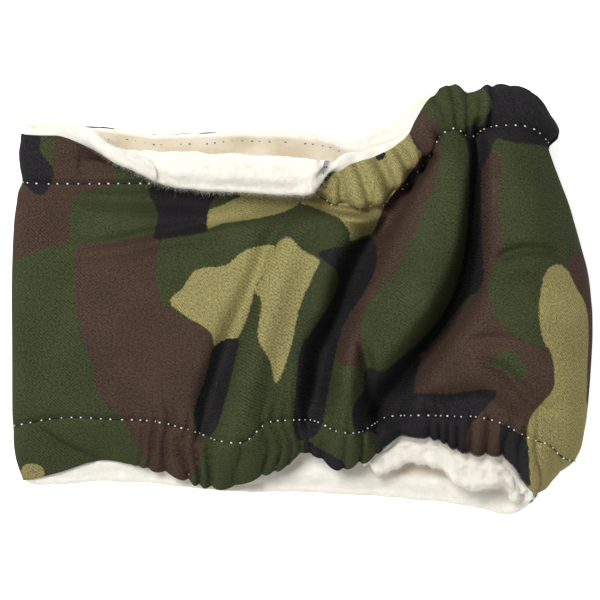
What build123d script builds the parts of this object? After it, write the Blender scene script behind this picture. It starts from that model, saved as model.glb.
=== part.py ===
from build123d import *
import math
import os

# Hand warmer muff: a twill tube lined with pile fleece, with a wide elastic casing round each mouth.
# It lies on its back wall at z = 0, and the hand passage runs along Y.
# The left fold (-X) lies flat. The right fold (+X) stands up as a roll.
# The front of the upper mouth is rolled outward, so a cuff of lining lies on the front wall.

# Overall form
left_fold_x = -116.5
left_fold_radius = 8.0
flat_cut = 0.2
# Each section: its y, the x of the right fold there, the radius of the roll there
roll_sections = [
    (-92.0, 90.0, 16.5),
    (-62.0, 107.0, 21.0),
    (-20.0, 116.5, 25.0),
    (20.0, 113.0, 25.0),
    (55.0, 103.0, 21.0),
    (92.0, 98.0, 17.5),
]
front_slope = 3.65
front_plane_z = 14.9

# Cloth layers, each given by its depth below the outer face of the tube
shell_depth = (0.0, 1.0)
elastic_depth = (1.3, 2.2)
lining_depth = (1.3, 5.0)
elastic_room = 2.6

# The same layers where the cuff is rolled outward, above that face
shell_flap = (-1.4, -0.4)
elastic_flap = (-2.6, -1.7)
lining_flap = (-6.0, -3.0)

# Casings and stitches
lining_lip = 2.0
elastic_width = 14.0
elastic_from_seam = 2.0
stitch_width = 0.8
stitch_groove_width = 1.2
stitch_proud = 0.2
stitch_sunk = 0.3
stitch_groove_sunk = 0.4
edge_stitch_from_hem = 3.0
seam_thread_radius = 0.35
seam_groove_radius = 0.6
seam_length = 94.0
join_x = -40.0

# Hem and casing seam lines, seen from above, from the left fold to the right fold
left_top = [(-125, 66), (-104, 66)]
right_top = [(92, 82), (108, 68), (125, 60)]
left_bottom = [(-125, -73), (-104, -72)]
right_bottom = [(92, -79), (101, -73), (112, -58), (125, -50)]
front_top_hem = left_top + [(-77, 58), (-50, 56), (0, 54), (24, 57), (38, 66), (56, 82), (72, 85.5)] + right_top
back_top_hem = left_top + [(-60, 69), (0, 66.5), (24, 62), (46, 71), (66, 82)] + right_top
front_bottom_hem = left_bottom + [(-80, -66), (-32, -75), (2, -63), (45, -56), (75, -64)] + right_bottom
back_bottom_hem = left_bottom + [(-32, -76), (40, -81), (76, -85.5)] + right_bottom
casing_depth = 20.0
front_top_seam = [(-125, 46), (-104, 46), (-50, 46.5), (0, 46), (28, 49), (46, 59), (60, 65.5), (78, 66.5)]
front_top_seam += [(x, y - casing_depth) for x, y in right_top]

# The rolled cuff
cuff_left_x = -74.0
cuff_right_x = 38.0
cuff_depth = 12.0


def section(y, fold_x, radius, depth):
    """The closed outline of the tube at y: a small left round and a large right round, joined by two lines."""
    small = left_fold_radius - depth
    large = radius - depth
    small_x = left_fold_x + left_fold_radius
    small_z = left_fold_radius - flat_cut
    large_x = fold_x - radius
    large_z = radius - flat_cut
    tilt = math.atan2(large_z - small_z, large_x - small_x)
    up_x = -math.sin(2 * tilt)
    up_z = math.cos(2 * tilt)
    low_left = (small_x, y, small_z - small)
    low_right = (large_x, y, large_z - large)
    right = (large_x + large * math.cos(tilt), y, large_z + large * math.sin(tilt))
    high_right = (large_x + large * up_x, y, large_z + large * up_z)
    high_left = (small_x + small * up_x, y, small_z + small * up_z)
    left = (small_x - small * math.cos(tilt), y, small_z - small * math.sin(tilt))
    return Wire(
        [
            Edge.make_line(low_left, low_right),
            Edge.make_three_point_arc(low_right, right, high_right),
            Edge.make_line(high_right, high_left),
            Edge.make_three_point_arc(high_left, left, low_left),
        ]
    )


def tube(depth):
    """The solid inside the surface that lies depth below the tube's outer face."""
    wires = [section(y, fold_x, radius, depth) for y, fold_x, radius in roll_sections]
    return Solid.make_loft(wires)


def wall(depths):
    """The whole layer between two depths, cut flat where it would go below the table."""
    layer = tube(depths[0]) - tube(depths[1])
    if depths[0] < flat_cut:
        layer -= Pos(0, 0, -10) * Box(300, 220, 20)
    return layer


def shifted(line, dy):
    return [(x, y + dy) for x, y in line]


def between(low, high):
    """The upright block between two lines seen from above."""
    corners = [Vector(x, y, -12) for x, y in low + high[::-1]]
    edges = Wire.make_polygon(corners)
    return extrude(Face(edges), 80, dir=(0, 0, 1))


half = Pos(0, 0, front_plane_z) * Rot(0, -front_slope, 0) * Pos(0, 0, 60) * Box(320, 240, 120)


def band(front_low, front_high, back_low, back_high):
    """The block that trims a layer to one pair of lines in front and another pair behind."""
    return (between(front_low, front_high) & half) + (between(back_low, back_high) - half)


def strip(front_line, back_line, low, high):
    """The block that follows a line all round the tube, from low to high beside it."""
    return band(
        shifted(front_line, low),
        shifted(front_line, high),
        shifted(back_line, low),
        shifted(back_line, high),
    )


def cuff_block(low, high):
    """The block beside the upper front hem, between the two ends of the rolled cuff."""
    middle_x = (cuff_left_x + cuff_right_x) / 2
    ends = Pos(middle_x, 50, 60) * Box(cuff_right_x - cuff_left_x, 60, 120)
    return between(shifted(front_top_hem, low), shifted(front_top_hem, high)) & ends & half


def rolled(inside, outside, fold_low, fold_high, flap_end):
    """The rolled part of one layer: a wall across the fold, and the flap that lies outside."""
    across = (tube(outside[0]) - tube(inside[1])) & cuff_block(fold_low, fold_high)
    flap = (tube(outside[0]) - tube(outside[1])) & cuff_block(flap_end, fold_high)
    return across + flap


def ring_on(depths, block):
    return (tube(depths[0]) - tube(depths[1])) & block


front_bottom_seam = shifted(front_bottom_hem, casing_depth)
back_bottom_seam = shifted(back_bottom_hem, casing_depth)
back_top_seam = shifted(back_top_hem, -casing_depth)
front_bottom_edge = shifted(front_bottom_hem, edge_stitch_from_hem)
back_bottom_edge = shifted(back_bottom_hem, edge_stitch_from_hem)
front_top_edge = shifted(front_top_hem, -edge_stitch_from_hem)
back_top_edge = shifted(back_top_hem, -edge_stitch_from_hem)

# Layers trimmed to the hems. The lining stands out past the shell all round.
lip = lining_lip
shell_band = band(
    shifted(front_bottom_hem, lip),
    shifted(front_top_hem, -5.0),
    shifted(back_bottom_hem, lip),
    shifted(back_top_hem, -lip),
)
lining_band = band(front_bottom_hem, front_top_hem, back_bottom_hem, back_top_hem)
outer_shell = wall(shell_depth) & shell_band
outer_shell += rolled(shell_depth, shell_flap, -6.0, -5.0, -cuff_depth + lip)
lining = wall(lining_depth) & lining_band
lining += rolled(lining_depth, lining_flap, -3.4, 0.0, -cuff_depth)

# Elastic rings in the two casings, and the room for them in the lining
low = elastic_from_seam
high = elastic_from_seam + elastic_width
top_low_front = shifted(front_top_seam, low)
top_high_front = shifted(front_top_hem, -3.8)
top_low_back = shifted(back_top_seam, low)
top_high_back = shifted(back_top_seam, high)
top_elastic = ring_on(elastic_depth, band(top_low_front, top_high_front, top_low_back, top_high_back))
top_elastic += rolled(elastic_depth, elastic_flap, -4.7, -3.8, -cuff_depth + 3.5)
bottom_block = strip(front_bottom_seam, back_bottom_seam, -high, -low)
bottom_elastic = ring_on(elastic_depth, bottom_block)
room_depth = (1.15, elastic_room)
lining -= ring_on(
    room_depth,
    band(
        shifted(top_low_front, -1),
        shifted(front_top_hem, -3.4),
        shifted(top_low_back, -1),
        shifted(top_high_back, 1),
    ),
)
lining -= ring_on(room_depth, strip(front_bottom_seam, back_bottom_seam, -high - 1, -low + 1))

# Threads: a needle thread on the outer face of the shell and a bobbin thread on the lining's pile
needle_depth = (-stitch_proud, stitch_sunk)
needle_groove = (-1.0, stitch_groove_sunk)
bobbin_depth = (lining_depth[1] - stitch_sunk, lining_depth[1] + stitch_proud)
bobbin_groove = (lining_depth[1] - stitch_groove_sunk, lining_depth[1] + 1.0)
rows = {
    "top_casing": (front_top_seam, back_top_seam),
    "bottom_casing": (front_bottom_seam, back_bottom_seam),
}
parts = {}
table = Pos(0, 0, -10) * Box(300, 220, 20)
for name, (front_line, back_line) in rows.items():
    thread_block = strip(front_line, back_line, -stitch_width / 2, stitch_width / 2)
    groove_block = strip(front_line, back_line, -stitch_groove_width / 2, stitch_groove_width / 2)
    parts[name + "_needle_thread"] = ring_on(needle_depth, thread_block) - table
    parts[name + "_bobbin_thread"] = ring_on(bobbin_depth, thread_block)
    outer_shell -= ring_on(needle_groove, groove_block)
    lining -= ring_on(bobbin_groove, groove_block)

# The row beside each hem runs on the pile. On the cuff it comes round to the outside with the pile.
half_stitch = stitch_width / 2
half_groove = stitch_groove_width / 2
edges = {"bottom": (front_bottom_edge, back_bottom_edge), "top": (front_top_edge, back_top_edge)}
for name, (front_line, back_line) in edges.items():
    thread = ring_on(bobbin_depth, strip(front_line, back_line, -half_stitch, half_stitch))
    lining -= ring_on(bobbin_groove, strip(front_line, back_line, -half_groove, half_groove))
    parts[name + "_edge_thread"] = thread
cuff_outside = lining_flap[0]
row = edge_stitch_from_hem - cuff_depth
on_cuff = ring_on(
    (cuff_outside - stitch_proud, cuff_outside + stitch_sunk),
    cuff_block(row - half_stitch, row + half_stitch),
)
lining -= ring_on(
    (cuff_outside - 1.0, cuff_outside + stitch_groove_sunk),
    cuff_block(row - half_groove, row + half_groove),
)
parts["top_edge_thread"] = parts["top_edge_thread"] - cuff_block(-10, 10) + on_cuff

# Seams that close the two bands into tubes, one below the other inside the left fold
fold_centre_x = left_fold_x + left_fold_radius
fold_centre_z = left_fold_radius - flat_cut
seam_reach = left_fold_radius - 1.6
for name, degrees in (("side_seam_thread", 200), ("lining_seam_thread", 160)):
    seam_x = fold_centre_x + seam_reach * math.cos(math.radians(degrees))
    seam_z = fold_centre_z + seam_reach * math.sin(math.radians(degrees))
    place = Pos(seam_x, -4, seam_z) * Rot(90, 0, 0)
    parts[name] = place * Cylinder(seam_thread_radius, seam_length)
    lining -= place * Cylinder(seam_groove_radius, seam_length + 1)

# Short rows that join the two ends of each elastic, on its inner face in the back wall
for name, line, side in (("top", back_top_seam, 1), ("bottom", back_bottom_seam, -1)):
    near = min(line, key=lambda point: abs(point[0] - join_x))
    join_y = near[1] + side * (elastic_from_seam + elastic_width / 2)
    join_z = elastic_depth[1] - flat_cut + 0.12
    parts[name + "_elastic_join_thread"] = Pos(near[0], join_y, join_z) * Box(0.8, 10.0, 0.24)

parts["outer_shell"] = outer_shell
parts["fleece_lining"] = lining
parts["top_elastic"] = top_elastic
parts["bottom_elastic"] = bottom_elastic

os.makedirs("parts", exist_ok=True)
for name, solid in parts.items():
    export_step(solid, "parts/" + name + ".step")
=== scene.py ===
import math

import bpy
import numpy as np
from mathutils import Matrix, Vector


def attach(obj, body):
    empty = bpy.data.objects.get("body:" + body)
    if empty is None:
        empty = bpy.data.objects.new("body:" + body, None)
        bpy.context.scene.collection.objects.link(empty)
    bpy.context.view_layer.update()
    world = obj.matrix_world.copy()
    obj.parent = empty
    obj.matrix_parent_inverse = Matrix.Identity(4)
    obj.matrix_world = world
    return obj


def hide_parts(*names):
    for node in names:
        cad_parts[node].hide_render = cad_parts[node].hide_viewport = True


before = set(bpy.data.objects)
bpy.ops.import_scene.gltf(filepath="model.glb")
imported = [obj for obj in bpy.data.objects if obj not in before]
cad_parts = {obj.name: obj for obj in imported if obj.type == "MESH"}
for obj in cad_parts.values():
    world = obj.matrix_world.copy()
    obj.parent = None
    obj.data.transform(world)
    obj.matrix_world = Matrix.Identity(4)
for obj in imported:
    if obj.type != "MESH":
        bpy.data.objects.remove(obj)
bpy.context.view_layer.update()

# A camouflage twill tube lined with pile fleece, lying on its back wall.
# Lengths here are in millimetres in the CAD frame, and meshes are written in metres.
MM = 0.001
rng = np.random.default_rng(11)
scene = bpy.context.scene


# ---------------------------------------------------------------- lines and noise


def smooth_line(points, closed=False, steps=12):
    """Points along a smooth line through the given points."""
    p = np.array(points, float)
    if closed:
        p = np.vstack([p[-1:], p, p[:2]])
    else:
        p = np.vstack([2 * p[0] - p[1], p, 2 * p[-1] - p[-2]])
    a, b, c, d = p[:-3], p[1:-2], p[2:-1], p[3:]
    q = np.linspace(0, 1, steps, endpoint=False)[None, :, None]
    a, b, c, d = (k[:, None, :] for k in (a, b, c, d))
    out = 0.5 * (2 * b + (c - a) * q + (2 * a - 5 * b + 4 * c - d) * q**2 + (3 * b - a - 3 * c + d) * q**3)
    out = out.reshape(-1, p.shape[1])
    return out if closed else np.vstack([out, p[-2:-1]])


def line(points):
    """A smooth function of x through the given (x, y) points."""
    dense = smooth_line(points)
    xs = np.maximum.accumulate(dense[:, 0] + np.arange(len(dense)) * 1e-9)
    return lambda x: np.interp(x, xs, dense[:, 1])


def step(x, low, high):
    """A smooth rise from 0 at low to 1 at high."""
    t = np.clip((x - low) / (high - low), 0, 1)
    return t * t * (3 - 2 * t)


def unit(vectors):
    return vectors / np.linalg.norm(vectors, axis=-1, keepdims=True)


def lattice(i, j, k):
    """A repeatable value from -1 to 1 for each whole-numbered place."""
    h = (i * 73856093 ^ j * 19349663 ^ k * 83492791) & 0x7FFFFFFF
    h = (h ^ (h >> 13)) * 1274126177 & 0x7FFFFFFF
    return ((h ^ (h >> 16)) & 0xFFFF) / 32767.5 - 1


def noise(x, y, z, size):
    """Smooth noise from -1 to 1 with features about size across."""
    p = [np.asarray(c, float) / size for c in (x, y, z)]
    p = np.broadcast_arrays(*p)
    n = [np.floor(c).astype(np.int64) for c in p]
    f = [c - m for c, m in zip(p, n)]
    f = [c * c * (3 - 2 * c) for c in f]
    total = 0
    for a in (0, 1):
        for b in (0, 1):
            for c in (0, 1):
                weight = (f[0] if a else 1 - f[0]) * (f[1] if b else 1 - f[1]) * (f[2] if c else 1 - f[2])
                total = total + weight * lattice(n[0] + a, n[1] + b, n[2] + c)
    return total


def inside_distance(outline, x, y, reach=9.0):
    """Signed distance to a closed outline, positive inside and cut off at reach."""
    out = np.full(x.shape, -reach)
    low, high = outline.min(0) - reach, outline.max(0) + reach
    near = (x > low[0]) & (x < high[0]) & (y > low[1]) & (y < high[1])
    px, py = x[near], y[near]
    best = np.full(px.shape, reach**2)
    within = np.zeros(px.shape, bool)
    for (ax, ay), (bx, by) in zip(outline, np.roll(outline, -1, 0)):
        dx, dy = bx - ax, by - ay
        h = np.clip(((px - ax) * dx + (py - ay) * dy) / (dx * dx + dy * dy + 1e-12), 0, 1)
        best = np.minimum(best, (px - ax - h * dx) ** 2 + (py - ay - h * dy) ** 2)
        if ay != by:
            within ^= ((ay > py) != (by > py)) & (px < dx * (py - ay) / dy + ax)
    out[near] = np.where(within, 1, -1) * np.sqrt(best)
    return out


def stroke(x, y, points, wider=0.0):
    """A fold drawn along a line: each point is x, y, half width, height."""
    p = smooth_line(points, steps=6)
    p[:, 2] += wider
    far = 2.6 * p[:, 2].max()
    near = (x > p[:, 0].min() - far) & (x < p[:, 0].max() + far)
    near &= (y > p[:, 1].min() - far) & (y < p[:, 1].max() + far)
    px, py = x[near], y[near]
    best = np.full(px.shape, 1e9)
    width, height = np.ones(px.shape), np.zeros(px.shape)
    for (ax, ay, aw, ah), (bx, by, bw, bh) in zip(p[:-1], p[1:]):
        dx, dy = bx - ax, by - ay
        h = np.clip(((px - ax) * dx + (py - ay) * dy) / (dx * dx + dy * dy), 0, 1)
        d = (px - ax - h * dx) ** 2 + (py - ay - h * dy) ** 2
        new = d < best
        best = np.where(new, d, best)
        width = np.where(new, aw + (bw - aw) * h, width)
        height = np.where(new, ah + (bh - ah) * h, height)
    out = np.zeros(x.shape)
    out[near] = height * np.exp(-best / width**2)
    return out


# ---------------------------------------------------------------- the form of the tube

left_edge = line([
    (-80, -111), (-73, -111.8), (-65, -114.2), (-57, -115.4), (-47, -116), (-20, -116.1), (7, -116.2),
    (29, -115.4), (39, -114.2), (43, -113.6), (47, -111.9), (53, -112.8), (59, -113.4), (66, -112.3),
    (72, -112),
])
right_edge = line([
    (-84, 92), (-79, 94.6), (-75.8, 97.8), (-66, 104.5), (-56.6, 109.8), (-50, 112.6), (-36.6, 114.8),
    (-12.6, 116.5), (-0.6, 115.9), (9, 114.6), (19.4, 111.8), (33.4, 107.8), (43.4, 103.8), (51.4, 100.6),
    (56, 99.2), (60, 101.2), (65.4, 103), (71.4, 101.8), (76.2, 99), (80, 96),
])
roll_radius = line([
    (-84, 14), (-79, 15), (-58, 20), (-36, 24), (-5, 25), (20, 24.5), (40, 20), (56, 15), (66, 14),
    (80, 11),
])
LEFT_RADIUS = 8.0

front_bottom_hem = line([
    (-113, -73), (-108, -72.5), (-96, -69.5), (-81, -65), (-69, -66.5), (-58, -69), (-46, -72.5),
    (-40, -75), (-29, -76), (-24, -74.5), (-15, -70.8), (-6, -67.5), (-2, -63.5), (2, -61.5), (8, -64),
    (15, -68.5), (22, -66.5), (30, -63), (34, -59), (40, -55.8), (48, -55.5), (56, -57), (62, -60.5),
    (70, -62.5), (78, -62.5), (83, -65), (87, -71), (91, -76.5), (95, -79),
])
front_bottom_seam = line([
    (-117, -51.5), (-110, -50), (-101, -48.4), (-90, -47.6), (-76, -48.4), (-60, -49), (-46, -52),
    (-38, -55), (-32, -56.8), (-22, -57), (-14, -50), (-6, -48.5), (6, -49), (14, -52.5), (24, -53),
    (34, -48), (46, -46.5), (62, -47), (70, -47), (80, -49.5), (91, -55.5), (98, -58), (104, -63),
    (112, -66),
])
front_top_seam = line([
    (-114, 47), (-104, 46), (-90, 46), (-50, 46), (0, 43), (8, 40.5), (14, 39), (20, 38), (28, 38),
    (34, 40), (38, 44), (42, 47), (46, 51.5), (50, 56.5), (53.5, 61.5), (56.5, 65.5), (61.8, 67.8),
    (67.8, 64.5), (75.8, 68.4), (91, 68.3), (100, 62),
])
top_casing_length = line([
    (-114, 19), (-96, 19.2), (-74, 17.4), (-58, 17), (0, 17.2), (8, 15.5), (14, 13.5), (20, 16), (28, 18),
    (34, 18.6), (38, 17), (43, 17.5), (46, 20), (50, 21.5), (55, 19.5), (58, 18.5), (72, 18), (82, 17),
    (91, 15.2), (97, 13.5), (103, 10),
])
flip = line([
    (-114, 0), (-101, 0), (-96, 18), (-90, 42), (-84, 65), (-75.4, 94), (-66, 116), (-57, 154), (-50, 178),
    (-42, 180), (-8, 178), (0, 168), (6, 140), (11, 100), (16, 50), (21, 18), (28, 6), (52, -4), (58, -14),
    (70, -25), (103, -25),
])
flip_from = line([
    (-114, 9), (-90, 8), (-62, 4.8), (0, 4.8), (8, 6), (16, 9), (42, 10), (46, 11), (54, 12), (103, 12),
])
FLIP_RADIUS = 2.6

back_bottom_hem = line([
    (-113, -73), (-100, -73.2), (-90, -72.6), (-80, -71.6), (-60, -72.6), (-40, -75), (-20, -76), (0, -76),
    (24, -77.4), (46, -79), (60, -80.5), (72, -82.5), (82, -85), (88, -85), (92, -82.5), (95, -79),
])
back_bottom_seam = line([
    (-117, -51.5), (-100, -52), (-40, -55), (24, -57), (72, -61), (92, -60), (112, -58),
])
back_top_seam = line([
    (-114, 47), (-100, 49), (-60, 50), (0, 46.5), (28, 43), (46, 52), (70, 60), (91, 63), (100, 60),
])
back_top_hem = line([
    (-114, 66), (-100, 66.5), (-93, 69), (-78, 68.8), (-60, 66), (-48, 66.3), (-24, 67), (0, 66), (12, 64),
    (18, 61.5), (24, 62.5), (31, 66), (39, 71), (47, 78), (54, 81), (70, 82), (84, 82), (93, 80), (99, 75),
    (103, 70),
])

# Folds of the front wall. Each point is x, y, half width, height.
folds = [
    # the deepest valley, beside the raised roll, ending in a dark pocket
    [(70.5, 69, 2.4, -6), (71.4, 56, 2.8, -13), (70.4, 44, 3.2, -18), (69.4, 30, 3.8, -22),
     (68, 18, 4.4, -25), (64.5, 3, 5.6, -27), (58.5, -8, 5.4, -27), (51, -18, 5.4, -26),
     (41, -32, 6.4, -25), (34, -42, 7.5, -22), (30, -52, 5.0, -9)],
    # the broad ridge before it
    [(60.5, 66, 7, 1), (56, 39, 9, 3), (51.5, 19, 9, 3), (47, 0, 9, 5), (41, -13, 8, 4), (33, -22, 6, 1)],
    [(45, 19, 3.6, -0.8), (41, 13, 4.2, -2.8), (38, 6, 3.4, -1)],
    [(43, -8, 7, 1), (50, -7, 6, 2)],
    # the narrow fold that runs down to the casing, and the crease beside it
    [(24, -6, 5, 1), (20, -16, 5, 4), (18.6, -32, 5, 7), (18.2, -48, 5, 7), (18, -60, 4.6, 3)],
    [(20, -13, 1.8, -1), (24.5, -19, 2.2, -3.5), (26.6, -28, 3, -7), (27, -38, 3, -7)],
    # the middle valley
    [(51, 56, 2.4, -6), (44, 44, 3.4, -12), (36, 32, 4.5, -17), (27, 20, 6.6, -22), (20, 6, 5.8, -22),
     (15.5, -8, 5.6, -21), (9, -22, 6, -19), (6.5, -36, 5.4, -17), (3, -50, 4.6, -9)],
    # the ridge before it
    [(2, 30, 5, 1), (-7, 11, 6.5, 4), (-13, -9, 6.5, 5.5), (-19.5, -33, 6.5, 6), (-26, -58, 6, 4)],
    # the shallow valley to its left
    [(-2, 36, 3, -2), (-12, 23, 4, -5), (-18, 8, 4, -5.5), (-25, -9, 5, -7), (-30, -22, 5, -10),
     (-35.5, -39, 5, -11), (-39, -53, 4, -6)],
    # the hollow below the cuff, and the crest below it
    [(-96, 41, 3, -1.5), (-80, 40.5, 4.5, -5), (-58, 39.5, 6, -9), (-34, 39, 6.5, -11.5), (-4, 39, 6, -13),
     (10, 37.5, 3, -8)],
    [(-94, 20.5, 2, -0.5), (-78, 22.5, 2.2, -2.2), (-58, 26.5, 2.4, -3.4), (-38, 30, 2.6, -4),
     (-22, 33, 2.6, -3)],
    [(-94, 17, 3, 0.6), (-76, 18.5, 3, 1.8), (-58, 22, 3, 2.2), (-38, 25.5, 3, 2), (-20, 29, 2.6, 1)],
    # the shade under the bunched casing, and the creases under it
    [(4, 38, 1.6, -2), (12, 36.5, 2.0, -5), (20, 35, 2.2, -7), (28, 35, 2.2, -8), (35, 37.5, 2.2, -8),
     (40, 42, 2.2, -8), (46, 48.5, 2.2, -8), (52, 56, 2, -6)],
    [(15, 31, 1.4, -1), (24, 27.5, 1.6, -4.2), (31, 24.5, 1.4, -2.4)],
    [(2, 31, 3, 0.5), (12, 31, 3, 1.6), (22, 31, 2.6, 2.6), (30, 29.5, 2.2, 1.6)],
    # the crescent on the roll and the lip below it
    [(75, 13.5, 2, -0.8), (82, 17.8, 2, -3.4), (92, 19.6, 2, -3.8), (101, 17.8, 1.8, -2.8),
     (106, 15, 1.6, -0.6)],
    [(78, 9, 4, 0.5), (90, 13, 4.2, 2.2), (102, 11, 4, 1.2)],
    # dents low on the roll
    [(62, -19, 2.2, -0.6), (73, -16, 2.4, -2.6), (84, -17, 2.4, -1.8), (92, -21, 2, -0.4)],
    [(72, -25, 2, -0.8), (80, -28, 2.4, -2.8), (88, -36, 2.6, -2.8), (95, -43, 3, -2.2),
     (103, -43, 3, -1)],
    [(44, -39, 4, -4), (58, -41, 5, -7), (74, -40, 4.5, -4.5), (84, -46, 3, -2)],
    [(32, -46, 4, -5), (40, -48.5, 4, -9), (50, -47, 3.6, -6), (60, -46, 3, -3)],
    # a broad dent on the flat part
    [(-76, -14, 10, -0.6), (-68, -30, 10, -3), (-61, -44, 8, -3.4)],
    [(64, -30, 4, 1), (74, -32, 4, 2), (82, -40, 4, 1.5)],
    # the lapped corner of the lower casing
    [(-107, -50.4, 1.2, -0.6), (-101, -54.5, 1.2, -2.0), (-95, -58.6, 1.2, -2.2), (-82, -64.6, 1.3, -1.6)],
    [(-104, -50, 2, 0.4), (-97, -54.5, 2.2, 1.2), (-84, -60.5, 2.4, 1.0)],
    # small creases near the casings
    [(-55, -28, 3, -1), (-52, -42, 3, -2.6), (-49, -56, 2.4, -2.5)],
    [(-63, -34, 4, 0.4), (-60, -50, 3, 1.2)],
]
# The bunched part of the upper casing: puffed lobes, and the creases between them
bunches = [
    [(13, 39.5, 2.4, 4), (13.5, 47, 2.4, 4)],
    [(24, 37.5, 2.8, 6), (21.5, 45, 3.0, 7), (19, 53, 2.6, 5)],
    [(32, 40, 2.6, 6), (29.5, 47, 2.8, 7), (26, 55, 2.6, 5)],
    [(41, 46, 2.2, 6), (38, 52.5, 2.4, 7), (34, 60, 2.4, 5)],
    [(47.5, 54, 2.0, 5.5), (45, 58.5, 2.2, 6.5), (41, 63.5, 2.2, 5)],
    [(52.5, 60, 2.6, 6), (50.5, 67, 2.8, 7), (47.5, 73, 2.4, 5)],
    [(57.5, 67, 1.8, 5), (54, 73, 2.4, 7), (50.5, 79, 2.4, 6)],
    [(60.5, 68, 1.7, 5), (59, 76, 2.2, 7), (56.5, 85, 2.2, 6)],
    [(64.5, 68, 1.6, 5), (64.5, 76, 2.0, 7), (63.2, 86, 2.0, 6)],
    [(69, 66, 1.6, 5), (69.5, 76, 2.0, 7), (69, 86, 2.0, 6)],
    [(73, 69, 1.6, 4), (74, 76, 1.9, 6), (74.4, 86, 1.8, 5)],
]


def columns(left, top, right, under_right, under, under_left):
    """Each column's stretch of the section and its place in it, once round the tube."""
    kind, place = [], []
    for k, n in enumerate((left, top, right, under_right, under, under_left)):
        kind += [k] * n
        place += list(np.arange(n) / n)
    return np.array(kind), np.array(place)


def section(y_left, y_right, kind, place):
    """The plain tube: a small left round and a large right round, joined by two straights."""
    xl, xr, big = left_edge(y_left), right_edge(y_right), roll_radius(y_right)
    small = LEFT_RADIUS - 1.5 * step(y_left, 40, 66) - 3.0 * step(-y_left, 44, 68)
    cl, cr = xl + small, xr - big
    tilt = np.arctan2(big - small, cr - cl)
    up = math.pi / 2 + 2 * tilt
    angle = np.select(
        [kind == 0, kind == 1, kind == 2, kind == 3, kind == 4, kind == 5],
        [math.pi + (up - math.pi) * place, up, up * (1 - place), -math.pi / 2 * place, -math.pi / 2,
         -math.pi / 2 * (1 + place)],
    )
    along = np.where(kind == 1, place, np.where(kind == 4, 1 - place, 0))
    on_left = (kind == 0) | (kind == 5)
    radius = np.where(on_left, small, big)
    radius = np.where((kind == 1) | (kind == 4), small + (big - small) * along, radius)
    cx = np.where(on_left, cl, cr)
    cx = np.where((kind == 1) | (kind == 4), cl + (cr - cl) * along, cx)
    cz = np.where(on_left, small, big)
    cz = np.where((kind == 1) | (kind == 4), small + (big - small) * along, cz)
    nx, nz = np.cos(angle), np.sin(angle)
    return cx + radius * nx, cz + radius * nz, nx, nz


def gathers(s, sharp=0.65):
    """Uneven rounded pleats along s, from 0 in a crease to 1 on top."""
    phase = s / 6.4 + 0.55 * np.sin(s / 10.0) + 0.36 * np.sin(s / 5.1 + 1)
    return np.abs(np.sin(math.pi * phase)) ** sharp


def row_ends(zone, v):
    """Where a row meets the left and the right fold."""
    pick = [zone == 0, zone == 1, zone == 2]
    at_left = np.select(pick, [-73 + 21.5 * v, -51.5 + 98.5 * v, 47 + 19 * v])
    return at_left, np.select(pick, [-79 + 21 * v, -58 + 115 * v, 57 + 18 * v])


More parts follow.
